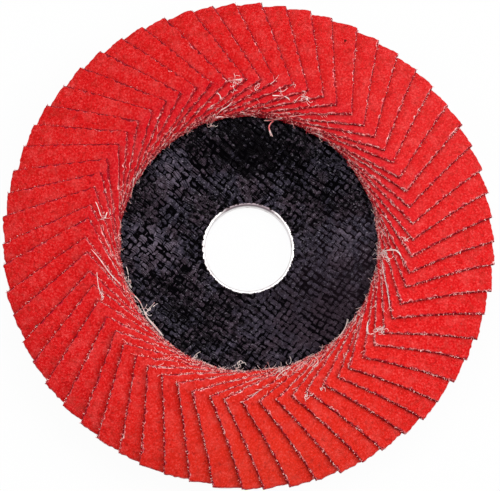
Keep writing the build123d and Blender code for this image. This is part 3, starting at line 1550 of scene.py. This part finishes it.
@dataclass
class WovenCloth:
    """The bundles of the plate's glass-fibre cloth where they stand proud of the resin."""

    shape: DiscShape
    along: float = 1.46 * MM
    across: float = 1.62 * MM
    warp_heading: float = math.radians(-35)
    plies: int = 4
    ply_thickness: float = 0.36 * MM
    crown: tuple[float, float] = (-0.1 * MM, 0.35 * MM)
    proud: float = 0.3 * MM
    coarse_side: float = math.radians(150)
    sink: float = 0.25 * MM
    stray: float = 0.9 * MM
    stray_step: float = 7 * MM
    twist: float = math.radians(9)
    inner_radius: float = 12.6 * MM
    outer_radius: float = 34.3 * MM
    lip_radius: float = 12.05 * MM
    lip_height: float = 3.75 * MM
    frays: int = 110
    fray_thickness: tuple[float, float] = (0.3 * MM, 0.55 * MM)
    seed: int = 3

    def build(self) -> list[bpy.types.Object]:
        """Makes the floats of the warp and of the weft.

        Returns:
            The pieces.
        """
        rng = random.Random(self.seed)
        noise.seed_set(self.seed)
        finish = BundleFinish().material()
        floats: dict[Yarns, list[Fibre]] = {Yarns.WARP: [], Yarns.WEFT: []}
        count = int(self.outer_radius / self.along) + 2
        for row in range(-count, count):
            for column in range(-count, count):
                yarns = Yarns((row + column) % 2)
                place = self._crossing(row, column)
                if self.inner_radius < place.length < self.outer_radius:
                    swell = 0.6 + 0.4 * math.cos(math.atan2(place.y, place.x) - self.coarse_side)
                    proud = swell if row % 2 == 0 and column % 2 == 0 else 0.45 * (1 - swell)
                    floats[yarns] += self._float(place, yarns, proud, rng)
        floats[Yarns.WEFT] += self._fray(rng)
        pieces = [tubes(f"{yarns.name.lower()}_floats", floats[yarns], finish) for yarns in Yarns]
        return pieces

    def _crossing(self, row: int, column: int) -> Vector:
        """Place of a crossing of the weave, which wanders a little from its grid.

        Args:
            row: The weft yarn's number.
            column: The warp yarn's number.

        Returns:
            The place, seen from the working side.
        """
        along, across = (column + 0.5) * self.along, (row + 0.5) * self.across
        turn, lean = math.cos(self.warp_heading), math.sin(self.warp_heading)
        place = Vector((along * turn - across * lean, along * lean + across * turn, 0.0))
        drift = noise.noise_vector(place / self.stray_step) * self.stray
        return place + Vector((drift.x, drift.y, 0.0))

    def _float(self, place: Vector, yarns: Yarns, proud: float, rng: random.Random) -> Iterator[Fibre]:
        """Plies of one float, the stretch of a bundle that lies on top at a crossing.

        Args:
            place: The crossing.
            yarns: Which set the bundle belongs to.
            proud: How far the bundle swells over its neighbours, from 0 to 1.
            rng: The seeded source.

        Yields:
            The plies.
        """
        heading = self.warp_heading + {Yarns.WARP: 0.0, Yarns.WEFT: math.pi / 2}[yarns]
        heading += rng.gauss(0, self.twist)
        stretch = {Yarns.WARP: 1.55, Yarns.WEFT: 1.25}[yarns]
        run, side = {Yarns.WARP: (self.along, self.across), Yarns.WEFT: (self.across, self.along)}[yarns]
        half = run * (stretch * rng.uniform(0.8, 1.15) + 0.2 * proud) / 2
        crown = rng.uniform(*self.crown) + self.proud * proud
        width = side * (rng.uniform(0.45, 0.8) + 0.5 * proud)
        forward = polar(heading)
        aside = Vector((-forward.y, forward.x, 0.0))
        for ply in range(self.plies):
            share = ply / (self.plies - 1) * 2 - 1
            offset = share * (width - self.ply_thickness) / 2 + rng.gauss(0, 0.05) * MM
            low = 0.12 * MM * share * share + rng.uniform(0, 0.1) * MM
            points = []
            for step in (-1.0, -0.5, 0.0, 0.5, 1.0):
                spot = place + forward * (half * step) + aside * offset
                spot *= max(1.0, self.lip_radius / spot.length)
                lift = (crown + self.sink) * (1 - step * step) - self.sink - low
                points.append(self.shape.on_plate(spot.x, spot.y, lift))
            yield Fibre(points, self.ply_thickness * rng.uniform(0.8, 1.2), smooth=False)

    def _fray(self, rng: random.Random) -> Iterator[Fibre]:
        """Cut bundle ends that lie on the edge of the steel ring's lip.

        Args:
            rng: The seeded source.

        Yields:
            The ends.
        """
        for _ in range(self.frays):
            angle = rng.uniform(0, 2 * math.pi)
            tip = self.lip_radius - rng.uniform(-0.1, 0.42) * MM
            foot = tip + rng.uniform(0.6, 1.2) * MM
            points = []
            low, high = self.shape.plate_front, self.lip_height
            for radius, height in ((foot, low), (self.lip_radius, high), (tip, high)):
                points.append(polar(angle, radius, height))
                angle += rng.gauss(0, 0.02)
            yield Fibre(points, rng.uniform(*self.fray_thickness), smooth=False)


# ---- the carried-over solids ----


@dataclass(frozen=True)
class Hub:
    """The backing plate, the centre ring and the adhesive, as the CAD has them."""

    plate: str = "backing_plate"
    ring: str = "centre_ring"
    adhesive: str = "adhesive_ring"

    def dress(self) -> None:
        """Gives each solid its finish."""
        finishes = {self.plate: WovenLaminateFinish(), self.ring: SteelFinish(), self.adhesive: ResinFinish()}
        for node, finish in finishes.items():
            material = finish.material()
            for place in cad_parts[node].material_slots:
                place.material = material
            log.info("dressed %s", node)


# ---- the studio ----


@dataclass(frozen=True)
class Studio:
    """Floor, light and camera."""

    distance: float = 0.8
    tilt: float = math.radians(9.6)
    bearing: float = math.radians(79.6)
    roll: float = math.radians(1.1)
    aim: tuple[float, float, float] = (0.0, 0.0, 12.8 * MM)
    field: float = 127.06 * MM
    sensor: float = 36.0
    shift: tuple[float, float] = (0.0011, -0.0063)
    floor_size: float = 1.6
    sky_light: float = 0.3
    backdrop: float = 0.98

    def build(self) -> None:
        """Makes the floor, the lights and the camera."""
        self._floor()
        self._world()
        self._lamp("key_light", (0.6, 0.06, 0.6), 0.65, 4.0)
        self._lamp("top_light", (0.0, 0.3, 0.76), 0.6, 2.5)
        self._lamp("fill_light", (-0.6, 0.0, 0.6), 0.6, 1.8)
        self._camera()

    def _floor(self) -> None:
        """Makes the floor under the disc."""
        mesh = bmesh.new()
        bmesh.ops.create_grid(mesh, x_segments=1, y_segments=1, size=self.floor_size)
        data = bpy.data.meshes.new("floor")
        mesh.to_mesh(data)
        mesh.free()
        data.materials.append(FloorFinish().material())
        floor = added("floor", data)
        floor.location.z = -0.02 * MM
        floor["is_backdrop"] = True

    def _world(self) -> None:
        """Makes a plain pale world."""
        graph = Graph("studio", world=True)
        inputs = {"Value": graph.seen(), "To Min": self.sky_light, "To Max": self.backdrop}
        inputs = {"Color": (1, 1, 1, 1), "Strength": graph.node("ShaderNodeMapRange", None, inputs)}
        bpy.context.scene.world = graph.end(graph.node("ShaderNodeBackground", None, inputs))

    def _lamp(self, name: str, place: tuple[float, float, float], size: float, power: float) -> None:
        """Makes a soft lamp that shines on the disc.

        Args:
            name: The lamp's name.
            place: Where it hangs.
            size: Its side.
            power: Its power in watts.
        """
        data = bpy.data.lights.new(name, "AREA")
        data.shape = "DISK"
        data.size = size
        data.energy = power
        lamp = added(name, data)
        lamp.location = place
        lamp.rotation_euler = (Vector(self.aim) - Vector(place)).to_track_quat("-Z", "Y").to_euler()

    def _camera(self) -> None:
        """Makes the camera."""
        data = bpy.data.cameras.new("camera")
        data.sensor_fit = "HORIZONTAL"
        data.sensor_width = self.sensor
        data.lens = self.sensor * self.distance / self.field
        data.shift_x, data.shift_y = self.shift
        data.clip_start = 0.01
        lean = polar(self.bearing) * math.sin(self.tilt)
        back = Vector((-lean.x, -lean.y, math.cos(self.tilt)))
        camera = added("camera", data)
        camera.location = Vector(self.aim) + back * self.distance
        right = Vector((-math.sin(self.roll), math.cos(self.roll), 0)).cross(back).normalized()
        up = back.cross(right)
        turn = camera.rotation_euler.to_matrix()
        turn.col[0], turn.col[1], turn.col[2] = right, up, back
        camera.rotation_euler = turn.to_euler()
        bpy.context.scene.camera = camera


def write_sizes() -> None:
    """Works out the CAD box and the visual model's box, and keeps neither.
    """
    boxes = {"cad": cad_box, "visual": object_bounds()}
    {name: [list(corner) for corner in box] for name, box in boxes.items()}


def main() -> None:
    """Dresses the disc piece by piece and sets the studio."""
    logging.basicConfig(level=logging.INFO, format="%(name)s: %(message)s")
    bpy.context.scene.view_settings.view_transform = "Standard"
    shape = DiscShape()
    ring = FlapRing(shape)
    Hub().dress()
    for piece in ring.build() + WovenCloth(shape).build() + Fibres(shape, ring).build():
        log.info("built %s, %d faces", piece.name, len(piece.data.polygons))
    Studio().build()
    write_sizes()


if __name__ == "__main__":
    main()
